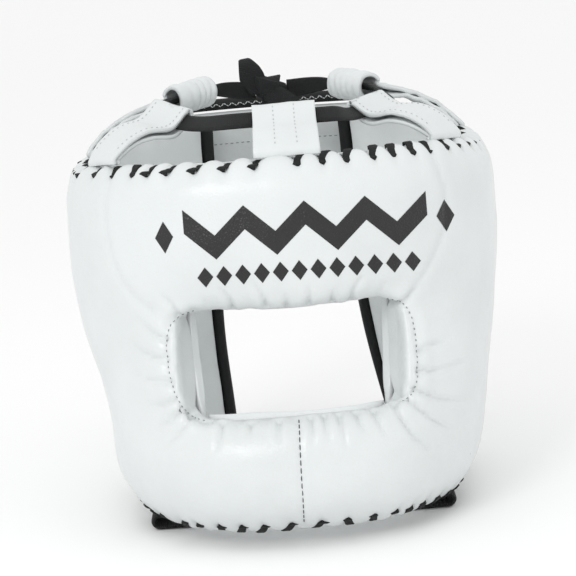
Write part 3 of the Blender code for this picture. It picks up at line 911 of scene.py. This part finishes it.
def rim_frame(angle, top):
    """Middle of a rim's rounding at an angle, with the directions outward and along the rim."""
    if top:
        height, tuck = top_rim(angle) - WHIP_REACH, TOP_TUCK
    else:
        height, tuck = bottom_rim(angle) + WHIP_REACH, BOTTOM_TUCK
    middle = outer_point(angle, height, tuck + RIM_WALL / 2)
    outward = (middle - outer_point(angle, height, PAD_WALL)).normalized()
    return middle, outward, Vector((0, 0, 1)).cross(outward)


def add_whip_lacing(name, angles, top, slants, tree):
    """Flat lace that whips over a rim between the lobes of the leather, one turn at each pull."""
    whole = empty_braid()
    rise = Vector((0, 0, 1 if top else -1))
    first_tilt = WHIP_FROM_TOP if top else WHIP_FROM_BOTTOM
    for number, angle in enumerate(angles):
        slant = slants(angle, number)
        wide = SIDE_WHIP_WIDTH if top and angle < -55 else WHIP_WIDTH
        turn_radius = radius(SECTIONS[TOP_ROW if top else 0], abs(angle))
        points, widths = [], []
        for step in range(WHIP_STEPS + 1):
            share = step / WHIP_STEPS
            tilt = math.radians(mix(first_tilt, WHIP_TO, share))
            here = angle + math.degrees(slant * (share - 0.35) / turn_radius)
            middle, outward, along = rim_frame(here, top)
            aim = rise * math.cos(tilt) + outward * math.sin(tilt)
            hit = tree.ray_cast(middle + aim * 0.03, -aim)[0]
            if hit is None or (hit - middle).length > WHIP_REACH * 2:
                continue
            sink = -0.0012 if step in (0, WHIP_STEPS) else WHIP_WALL * 0.5
            point = hit + aim * sink
            point.z = max(point.z, WHIP_WALL / 2)
            points.append(point)
            widths.append(along * wide)
        if len(points) < 3:
            continue
        join_into(whole, ribbon_mesh(points, widths, WHIP_WALL))
    return add_piece(name, whole, LACE)


def top_slant(angle, number):
    """How far a turn of the top lacing leans along the rim."""
    if angle < -60:
        return -0.012 if number % 2 else 0.012
    return -0.006 if angle < -40 else 0.006


def bottom_slant(angle, number):
    """How far a turn of the bottom lacing leans along the rim."""
    return -0.006 if angle < 5 else 0.004


def add_shell():
    """The white outer shell."""
    mesh = pad_mesh((-COLUMNS, COLUMNS), (0, TOP_ROW), (0, 1), 4, window=True)
    drop_hidden_side(mesh)
    shape_shell(mesh)
    shell = add_piece("leather_shell", mesh, WHITE)
    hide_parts("outer_shell")
    return shell


def add_lining(name, columns, rows):
    """One pad of the lining."""
    mesh = pad_mesh(columns, rows, (1, 2), 3)
    places, normals = places_of(mesh)
    move_to(mesh, places + normals * unevenness(places, LINING_RELIEF)[:, None])
    pad = add_piece(name + "_pad", mesh, LINING)
    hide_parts(name)
    return pad


# Bindings and the rear panel


def ribbon_mesh(points, widths, wall, segments=6):
    """Closed band along points, with rounded edges and its flat coordinates."""
    count = len(points)
    mesh = bmesh.new()
    layer = mesh.loops.layers.uv.new("flat")
    runs = [0.0]
    for before, after in zip(points[:-1], points[1:]):
        runs.append(runs[-1] + (after - before).length)
    rings = []
    for number, (middle, width) in enumerate(zip(points, widths)):
        ahead = points[min(number + 1, count - 1)] - points[max(number - 1, 0)]
        facing = width.cross(ahead).normalized() * wall / 2
        ring = []
        for side in (1, -1):
            for step in range(segments + 1):
                share = step / segments if side > 0 else 1 - step / segments
                edge = 0.35 if step in (0, segments) else 1.0
                ring.append((mesh.verts.new(middle + width * (share - 0.5) + facing * side * edge),
                             share))
        rings.append(ring)

    def face(corners, coordinates):
        made = mesh.faces.new(corners)
        for loop, flat in zip(made.loops, coordinates):
            loop[layer].uv = flat

    size = len(rings[0])
    for number in range(count - 1):
        for step in range(size):
            following = (step + 1) % size
            corners = [rings[number][step], rings[number][following],
                       rings[number + 1][following], rings[number + 1][step]]
            heights = (runs[number], runs[number], runs[number + 1], runs[number + 1])
            face([corner[0] for corner in corners],
                 [(corner[1], height) for corner, height in zip(corners, heights)])
    for ring, run in ((rings[0], runs[0]), (rings[-1], runs[-1])):
        face([corner[0] for corner in ring], [(corner[1], run) for corner in ring])
    return mesh


def add_wing_binding(name, side):
    """Black binding along the rear edge of a wing."""
    def strip(beyond):
        def corner(across, row):
            outer, _, inner = layer_depths(side * COLUMNS, row)
            depth = mix(outer - BINDING_PROUD, inner + BINDING_PROUD, across)
            edge = place(side * COLUMNS, row, depth)
            inward = place(side * (COLUMNS - 1), row, depth)
            run = Vector((edge.x - inward.x, edge.y - inward.y, 0)).normalized()
            return edge + run * beyond
        return corner

    mesh = mapped_grid(1, TOP_ROW, lambda across, up: Vector((across, up * TOP_ROW, 0)))
    thicken(mesh, strip(SEAM_GAP - BINDING_SINK), strip(BINDING_WIDTH))
    piece = add_piece(name + "_tape", smoothed(mesh, 3), BINDING)
    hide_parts(name)
    return piece


def curved_slab(bottom, top, columns, rows):
    """Slab that follows the back of the shell between two heights."""
    def face(sink):
        def corner(column, row):
            angle = 180.0 + mix(-PANEL_HALF_ANGLE, PANEL_HALF_ANGLE, column / columns)
            return outer_point(angle, mix(bottom, top, row / rows), PANEL_SINK + sink)
        return corner

    mesh = mapped_grid(columns, rows, lambda across, up: Vector((across * columns, up * rows, 0)))
    thicken(mesh, face(-PANEL_WALL), face(0.0))
    return smoothed(mesh, 3)


def add_rear_panel():
    """Padded panel that joins the wings at the back, and the binding on its top edge."""
    panel = add_piece("rear_panel_pad", curved_slab(PANEL_BOTTOM, PANEL_TOP, 12, 8), WHITE)
    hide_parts("rear_panel")
    low = PANEL_TOP + SEAM_GAP
    tape = curved_slab(low, low + BINDING_WIDTH, 12, 1)
    binding = add_piece("rear_panel_tape", tape, BINDING)
    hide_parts("rear_panel_binding")
    add_panel_stitches(binding, panel)


# The crown's tabs, lace and bow


def crown_point(shares):
    """Place over the crown, from its shares of half the width, of the depth and of the height."""
    across, along, up = shares
    depth = FOREHEAD_DEPTH if along < 0 else BACK_DEPTH
    height = FRONT_RIM + CROWN_HEIGHT * (1 + up)
    return Vector((across * SHELL_WIDTH / 2, along * depth, height)) + HOME


def rim_top_point(angle):
    """Middle of the top rim's edge at an angle from the face."""
    return outer_point(angle, top_rim(angle) + TAB_SEAT, TOP_TUCK + RIM_WALL / 2)


def tab_frame(tab):
    """Run of a tab's fold, direction from its root to the fold, and its outward normal."""
    start, end = crown_point(tab.fold_start) - HOME, crown_point(tab.fold_end) - HOME
    run = (end - start).normalized()
    away = (start + end) / 2 - (rim_top_point(mix(*tab.root_angles, 0.5)) - HOME)
    away = (away - run * away.dot(run)).normalized()
    normal = run.cross(away).normalized()
    if normal.dot(Vector((start.x + end.x, start.y + end.y, 0))) < 0:
        normal = -normal
    return run, away, normal


def tab_path(tab, across):
    """Points of a tab from its root over the lace and back, at a share of its width."""
    _, away, normal = tab_frame(tab)
    root = rim_top_point(mix(*tab.root_angles, across))
    fold = crown_point(tab.fold_start).lerp(crown_point(tab.fold_end), across)
    closed = (TAB_WALL + TAB_CLEARANCE) / 2
    if tab.sleeve:
        open_half, start_turn, count = SLEEVE_RADIUS, 150, 12
    else:
        open_half = (LACE_WALL + TAB_WALL) / 2 + TAB_CLEARANCE
        start_turn, count = 90, 6
    neck = fold - away * tab.flat * CROWN_HEIGHT
    angle = mix(*tab.root_angles, across)
    outward = outer_point(angle, FRONT_RIM, 0.0) - outer_point(angle, FRONT_RIM, PAD_WALL)
    legs = [(root, outward.normalized() * closed)]
    root = root + Vector((0, 0, TAB_RISE))
    for share in (0.0, 0.33, 0.67):
        apart = closed if tab.sleeve else mix(closed, open_half, min(share * 1.5, 1))
        belly = normal * tab.belly * CROWN_HEIGHT * 4 * share * (1 - share)
        facing = outward.normalized().lerp(normal, 0.5 + share / 2).normalized()
        legs.append((root.lerp(neck, share) + belly, facing * apart))
    turns = [math.radians(start_turn * (1 - 2 * step / count)) for step in range(count + 1)]
    if not tab.sleeve:
        legs.append((neck, normal * open_half))
    eye = [fold + (away * math.cos(turn) + normal * math.sin(turn)) * open_half for turn in turns]
    out = [middle + apart for middle, apart in legs]
    back = [middle - apart for middle, apart in reversed(legs)]
    return out + eye + back


def add_tab(tab):
    """One leather tab, folded over the lace and sewn to the rim by both its ends."""
    across_steps = 32
    paths = [curve_through(tab_path(tab, step / across_steps), 4) for step in range(across_steps + 1)]
    last = len(paths[0]) - 1

    def corner(across, up):
        return paths[round(across * across_steps)][round(up * last)]

    mesh = mapped_grid(across_steps, last, corner)
    mesh.normal_update()
    depth = SLEEVE_GATHER if tab.sleeve else TAB_CREASE
    run = tab_frame(tab)[0]
    moves = []
    for vertex in mesh.verts:
        along = vertex.co.dot(run)
        wobble = noise.noise(vertex.co * 45 + NOISE_SHIFT)
        if tab.sleeve:
            wave = math.sin(along * 1000 + wobble * 7.0) + 1.3 * noise.noise(vertex.co * 150)
        else:
            wave = wobble + 0.35 * noise.noise(vertex.co * 160)
        moves.append(vertex.normal * wave * depth)
    for vertex, move in zip(mesh.verts, moves):
        vertex.co += move
    piece = add_piece(tab.name + "_leather", mesh, WHITE)
    wall = piece.modifiers.new("Wall", "SOLIDIFY")
    wall.thickness = TAB_WALL
    wall.offset = 0.0
    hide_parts(tab.name)
    return piece


def lace_in_tab(tab):
    """The lace's two ends inside a tab and its width vector there."""
    run, away, _ = tab_frame(tab)
    back = Vector((0, 0, 0)) if tab.sleeve else away * LACE_WIDTH / 2
    overrun = LACE_OVERRUN * OVERRUN_SHARES[tab.name]
    start = crown_point(tab.fold_start) - back - run * overrun
    end = crown_point(tab.fold_end) - back + run * overrun
    return start, end, run, away * LACE_WIDTH


def bend(start, start_run, end, end_run, share, slack):
    """Point on a smooth curve that leaves start and reaches end along the given directions."""
    reach = (end - start).length * slack
    square, cube = share * share, share * share * share
    return (start * (2 * cube - 3 * square + 1) + start_run * reach * (cube - 2 * square + share)
            + end * (3 * square - 2 * cube) + end_run * reach * (cube - square))


def crown_route(steps):
    """Points and width vectors of the lace from one side of the knot round to the other."""
    order = ("left_back_tab", "left_front_tab", "front_tab", "right_front_tab", "right_back_tab")
    tabs = {tab.name: tab for tab in TABS}
    knot_edge = Vector((KNOT_SIZE.x / 2 + SEAM_GAP, 0, 0))
    level = Vector((0, 0, LACE_WIDTH))
    stops = [(crown_point(KNOT_SHARES) - knot_edge, Vector((-1, 0.25, 0)), level)]
    for name in order:
        start, end, run, width = lace_in_tab(tabs[name])
        ends = [(start, run, width), (end, run, width)]
        if name.startswith("left"):
            ends = [(end, -run, width), (start, -run, width)]
        stops += ends
    stops.append((crown_point(KNOT_SHARES) + knot_edge, Vector((-1, -0.25, 0)), level))
    points, widths = [stops[0][0]], [stops[0][2]]
    for number in range(1, len(stops)):
        before, after = stops[number - 1], stops[number]
        straight = number % 2 == 0
        slack = SIDE_SLACK if number in (3, 9) else LACE_SLACK
        for step in range(1, steps + 1):
            share = step / steps
            if straight:
                points.append(before[0].lerp(after[0], share))
            else:
                points.append(bend(before[0], before[1], after[0], after[1], share, slack))
            widths.append(before[2].lerp(after[2], share).normalized() * LACE_WIDTH)
    return points, widths


def add_crown():
    """The tabs, the lace that runs through them and the bow that ties it at the back."""
    for tab in TABS:
        piece = add_tab(tab)
        shares = (0.33, 0.66) if tab.name == "front_tab" else (0.12, 0.88)
        if not tab.sleeve:
            add_tab_stitches(tab, shares, tree_of(piece.data))
    points, widths = crown_route(18)
    lace = add_piece("crown_lace_braid", ribbon_mesh(points, widths, LACE_WALL), LACE)
    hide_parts("crown_lace")
    add_bow_knot()
    add_bow_loop()
    add_bow_tail()


def add_bow_knot():
    """Knot of four turns of lace, three of them across the ring and one round it."""
    middle = crown_point(KNOT_SHARES)
    whole = empty_braid()
    for round_ring, size, lean in KNOT_TURNS:
        points, widths = [], []
        for step in range(KNOT_STEPS + 1):
            angle = math.tau * step / KNOT_STEPS
            if round_ring:
                ring = Vector((math.cos(angle) * KNOT_SIZE.x / 2, math.sin(angle) * KNOT_SIZE.y / 2,
                               lean * 0.01 * math.cos(angle))) * size
                wide = Vector((0, lean, 1)).normalized() * LACE_WIDTH * 1.2
            else:
                ring = Vector((lean * 0.004 * math.sin(angle), math.cos(angle) * KNOT_SIZE.y / 2,
                               math.sin(angle) * KNOT_SIZE.z / 2)) * size
                wide = Vector((1, 0.1 * math.sin(angle), lean)).normalized() * LACE_WIDTH * 0.95
            points.append(middle + ring)
            widths.append(wide)
        join_into(whole, ribbon_mesh(points, widths, LACE_WALL))
    knot = add_piece("bow_knot_wraps", whole, LACE)
    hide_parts("bow_knot")


def add_bow_loop():
    """Loop of the bow that stands above the knot, broad at its foot."""
    foot = crown_point(KNOT_SHARES) + Vector((-0.65 * KNOT_SIZE.x, 0, 0.55 * KNOT_SIZE.z))
    rise = Vector((-0.05, 0, 1)).normalized()
    points, widths = [], []
    for share, apart, width in curve_through(LOOP_OUTLINE, 5):
        slide = Vector((max(-share, 0) * 0.006 + (width - 1.15) * LACE_WIDTH * 0.4, 0, 0))
        points.append(foot + rise * BOW_LOOP_LENGTH * share + Vector((0, LACE_WALL * apart, 0)) + slide)
        widths.append(Vector((1, 0, 0.12)).normalized() * LACE_WIDTH * width)
    loop = add_piece("bow_loop_braid", ribbon_mesh(points, widths, LACE_WALL * 0.8), LACE)
    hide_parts("bow_loop")


def add_bow_tail():
    """Free end of the lace, which starts inside the knot and sags towards the front."""
    foot = crown_point(KNOT_SHARES) + Vector((
        0.11 * KNOT_SIZE.x,
        -KNOT_SIZE.y / 2 - LACE_WALL / 2,
        -0.21 * KNOT_SIZE.z,
    ))
    fall = Vector((0.80, -0.30, -0.52)).normalized()
    across = Vector((0.54, 0.1, 0.84)).normalized()
    points, widths = [], []
    for step in range(-3, TAIL_STEPS + 1):
        share = step / TAIL_STEPS
        sag = Vector((0, 0, -BOW_TAIL_SAG * share * abs(share)))
        points.append(foot + fall * BOW_TAIL_LENGTH * share + sag)
        widths.append(across * LACE_WIDTH * (1.15 + 0.12 * math.sin(share * 5)))
    tail = add_piece("bow_tail_braid", ribbon_mesh(points, widths, LACE_WALL), LACE)
    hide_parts("bow_tail")


# Stitches and print


def walk(line, spacing):
    """Points at an even spacing along a line."""
    points, left = [line[0]], spacing
    for before, after in zip(line[:-1], line[1:]):
        length = (after - before).length
        while left <= length:
            points.append(before.lerp(after, left / length))
            left += spacing
        left -= length
    return points


def stitch(mesh, start, end, normal, kind, tree):
    """One stitch on a surface, which dips in at both its ends."""
    side = (end - start).normalized().cross(normal).normalized()
    rings = []
    for part, swell in ((0.0, 0.45), (0.25, 1.0), (0.75, 1.0), (1.0, 0.45)):
        middle = start.lerp(end, part)
        near = tree.find_nearest(middle)[0] or middle
        middle = near + normal * (kind.lift if swell == 1.0 else -kind.lift * 0.5)
        ring = []
        for step in range(STITCH_SIDES):
            turn = math.tau * step / STITCH_SIDES
            around = side * math.cos(turn) + normal * math.sin(turn)
            ring.append(mesh.verts.new(middle + around * kind.thick / 2 * swell))
        rings.append(ring)
    for low, high in zip(rings[:-1], rings[1:]):
        for step in range(STITCH_SIDES):
            following = (step + 1) % STITCH_SIDES
            mesh.faces.new((low[step], low[following], high[following], high[step]))
    mesh.faces.new(rings[0])
    mesh.faces.new(rings[-1])


def add_stitches(name, lines, kind, tree, material, outward=False):
    """Rows of stitches of a kind along some lines.

    With outward set they stand on the side of a sheet that faces away from the head.
    """
    mesh = bmesh.new()
    for line in lines:
        points = walk(line, kind.spacing)
        for start, following in zip(points[:-1], points[1:]):
            end = start.lerp(following, kind.share)
            near, normal = tree.find_nearest((start + end) / 2)[:2]
            if near is None:
                continue
            if outward and normal.dot(near - HOME) < 0:
                normal = -normal
            stitch(mesh, start, end, normal, kind, tree)
    return add_piece(name, mesh, material)


def add_shell_stitches(tree):
    """Dark stitches in the seams beside the window and down the middle of the bar."""
    sides = [on_shell(tree, pixels) for pixels in WINDOW_SEAMS]
    add_stitches("window_stitches", sides, WINDOW_STITCHES, tree, GREY_THREAD)
    middle = [on_shell(tree, BAR_SEAM)]
    add_stitches("bar_stitches", middle, BAR_STITCHES, tree, DARK_THREAD)


def zigzag(left, right, low, high, teeth):
    """Outline points of a toothed line, from left to right."""
    return [(mix(left, right, step / teeth), low if step % 2 else high) for step in range(teeth + 1)]


def lozenge(x, y, half_width, half_height):
    """Corners of a lozenge, in pixels."""
    return (x - half_width, y), (x, y - half_height), (x + half_width, y), (x, y + half_height)


def print_shapes():
    """Flat shapes of the forehead's print: a toothed band and a row of lozenges, in pixels."""
    shapes = []
    upper = zigzag(188, 432, 230, 202, 8)
    for (x1, y1), (x2, y2) in zip(upper[:-1], upper[1:]):
        shapes.append(((x1, y1), (x2, y2), (x2, y2 + BAND_HEIGHT), (x1, y1 + BAND_HEIGHT)))
    for step in range(LOZENGES):
        shapes.append(lozenge(mix(206, 414, step / (LOZENGES - 1)), 271, 8, 10))
    for x in (168, 450):
        shapes.append(lozenge(x, 228, 9, 16))
    return shapes


def add_print(tree):
    """Generic black ornament printed on the forehead, laid on the leather."""
    mesh = bmesh.new()
    for corners in print_shapes():
        first, second, third, fourth = [Vector((x, y, 0)) for x, y in corners]
        steps = max(int((second - first).length / 1.6), int((fourth - first).length / 1.6), 3)
        rows = []
        for row in range(steps + 1):
            made = []
            for column in range(steps + 1):
                across, down = column / steps, row / steps
                pixel = first.lerp(second, across).lerp(fourth.lerp(third, across), down)
                hit, normal = tree.ray_cast(*picture_ray(pixel.x, pixel.y))[:2]
                made.append(None if hit is None else mesh.verts.new(hit + normal * PRINT_LIFT))
            rows.append(made)
        for low, high in zip(rows[:-1], rows[1:]):
            for column in range(steps):
                quad = (low[column], low[column + 1], high[column + 1], high[column])
                if None not in quad:
                    mesh.faces.new(quad)
    return add_piece("forehead_print", mesh, PRINT)


def add_tab_stitches(tab, shares, piece_tree):
    """Rows of stitches along a tab's outer leaf."""
    lines = []
    for share in shares:
        path = curve_through(tab_path(tab, share), 4)
        lines.append(path[6:len(path) // 2 - 4])
    add_stitches(tab.name + "_stitches", lines, TAB_STITCHES, piece_tree, WHITE_THREAD,
                 outward=True)


def add_panel_stitches(binding, panel):
    """Zigzag stitches on the rear panel's binding and a plain row in its lining."""
    tree = tree_of(binding.data)
    line = []
    for step in range(61):
        angle = 180.0 + mix(-PANEL_HALF_ANGLE + 2, PANEL_HALF_ANGLE - 2, step / 60)
        height = PANEL_TOP + BINDING_WIDTH * (0.32 if step % 2 else 0.72)
        line.append(outer_point(angle, height, PANEL_SINK))
    add_stitches("panel_zigzag", [line], ZIGZAG_STITCHES, tree, WHITE_THREAD)
    tree = tree_of(panel.data)
    lines = []
    for drop in PANEL_ROW_DROPS:
        lines.append([outer_point(180.0 + mix(-30, 30, step / 40), PANEL_TOP - drop, PANEL_SINK)
                      for step in range(41)])
    add_stitches("panel_stitches", lines, PANEL_STITCHES, tree, GREY_THREAD)


# Chin strap


def add_chin_strap():
    """Chin strap that lies flat under the shell, and its two ends folded up to the rim."""
    across = Vector((0, STRAP_WIDTH, 0))
    floor = STRAP_WALL / 2
    upper = SHELL_BOTTOM - SEAM_GAP - STRAP_WALL / 2
    turn = (upper - floor) / 2
    bend_x = STRAP_HALF_SPAN - turn - STRAP_WALL / 2
    inner_x = STRAP_HALF_SPAN - ROOT_REACH
    for name, side in (("left_strap_root", -1), ("right_strap_root", 1)):
        route = [(bend_x - ROOT_REACH / 2, upper)]
        for step in range(17):
            angle = math.pi * step / 16
            route.append((bend_x + turn * math.sin(angle), floor + turn + turn * math.cos(angle)))
        route.append((inner_x, floor))
        points = [Vector((side * x, STRAP_PLACE, z)) + HOME for x, z in route]
        mesh = ribbon_mesh(points, [across] * len(points), STRAP_WALL, 10)
        piece = add_piece(name + "_webbing", mesh, WEBBING)
        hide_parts(name)
    reach = inner_x - SEAM_GAP
    points = [Vector((reach * share / 10, STRAP_PLACE, floor)) + HOME for share in range(-10, 11)]
    mesh = ribbon_mesh(points, [across] * len(points), STRAP_WALL, 10)
    strap = add_piece("chin_strap_leather", mesh, WHITE)
    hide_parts("chin_strap")


# Floor and light


def add_light(light):
    """Square soft light that looks at the headgear."""
    data = bpy.data.lights.new(light.name, "AREA")
    data.shape = "SQUARE"
    data.size = light.size
    data.energy = light.power
    lamp = bpy.data.objects.new(light.name, data)
    lamp.location = light.place
    lamp.rotation_euler = (LIGHT_TARGET - Vector(light.place)).to_track_quat("-Z", "Y").to_euler()
    bpy.context.scene.collection.objects.link(lamp)


def add_studio():
    """Plain pale floor and soft light from all round, stronger from the upper left."""
    mesh = bmesh.new()
    bmesh.ops.create_grid(mesh, x_segments=8, y_segments=8, size=30.0)
    data = bpy.data.meshes.new("floor")
    mesh.to_mesh(data)
    mesh.free()
    material, _, _ = new_material("floor", (FLOOR_TONE,) * 3, 0.9)
    data.materials.append(material)
    floor = bpy.data.objects.new("floor", data)
    bpy.context.scene.collection.objects.link(floor)
    world = bpy.data.worlds.new("studio")
    world.use_nodes = True
    world.node_tree.nodes["Background"].inputs["Color"].default_value = (1.0, 1.0, 1.0, 1.0)
    world.node_tree.nodes["Background"].inputs["Strength"].default_value = SKY_STRENGTH
    bpy.context.scene.world = world
    bpy.context.scene.view_settings.view_transform = "Standard"
    for light in LIGHTS:
        add_light(light)


def build():
    """Dress the whole headgear."""
    add_camera()
    shell = add_shell()
    below, above = WINDOW_ROWS
    pads = [shell] + [add_lining(*row) for row in (
        ("forehead_lining", (-FRONT_COLUMNS, FRONT_COLUMNS), (above, TOP_ROW)),
        ("bar_lining", (-FRONT_COLUMNS, FRONT_COLUMNS), (0, below)),
        ("left_lining", (-COLUMNS, -FRONT_COLUMNS), (0, TOP_ROW)),
        ("right_lining", (FRONT_COLUMNS, COLUMNS), (0, TOP_ROW)),
    )]
    tree = tree_of(*[pad.data for pad in pads])
    add_shell_stitches(tree)
    add_print(tree)
    add_whip_lacing("top_lacing", pull_angles(TOP_PULLS, True), True, top_slant, tree)
    add_whip_lacing("bottom_lacing", pull_angles(BOTTOM_PULLS, False), False, bottom_slant, tree)
    add_wing_binding("left_wing_binding", -1)
    add_wing_binding("right_wing_binding", 1)
    add_rear_panel()
    add_crown()
    add_chin_strap()
    add_studio()


build()
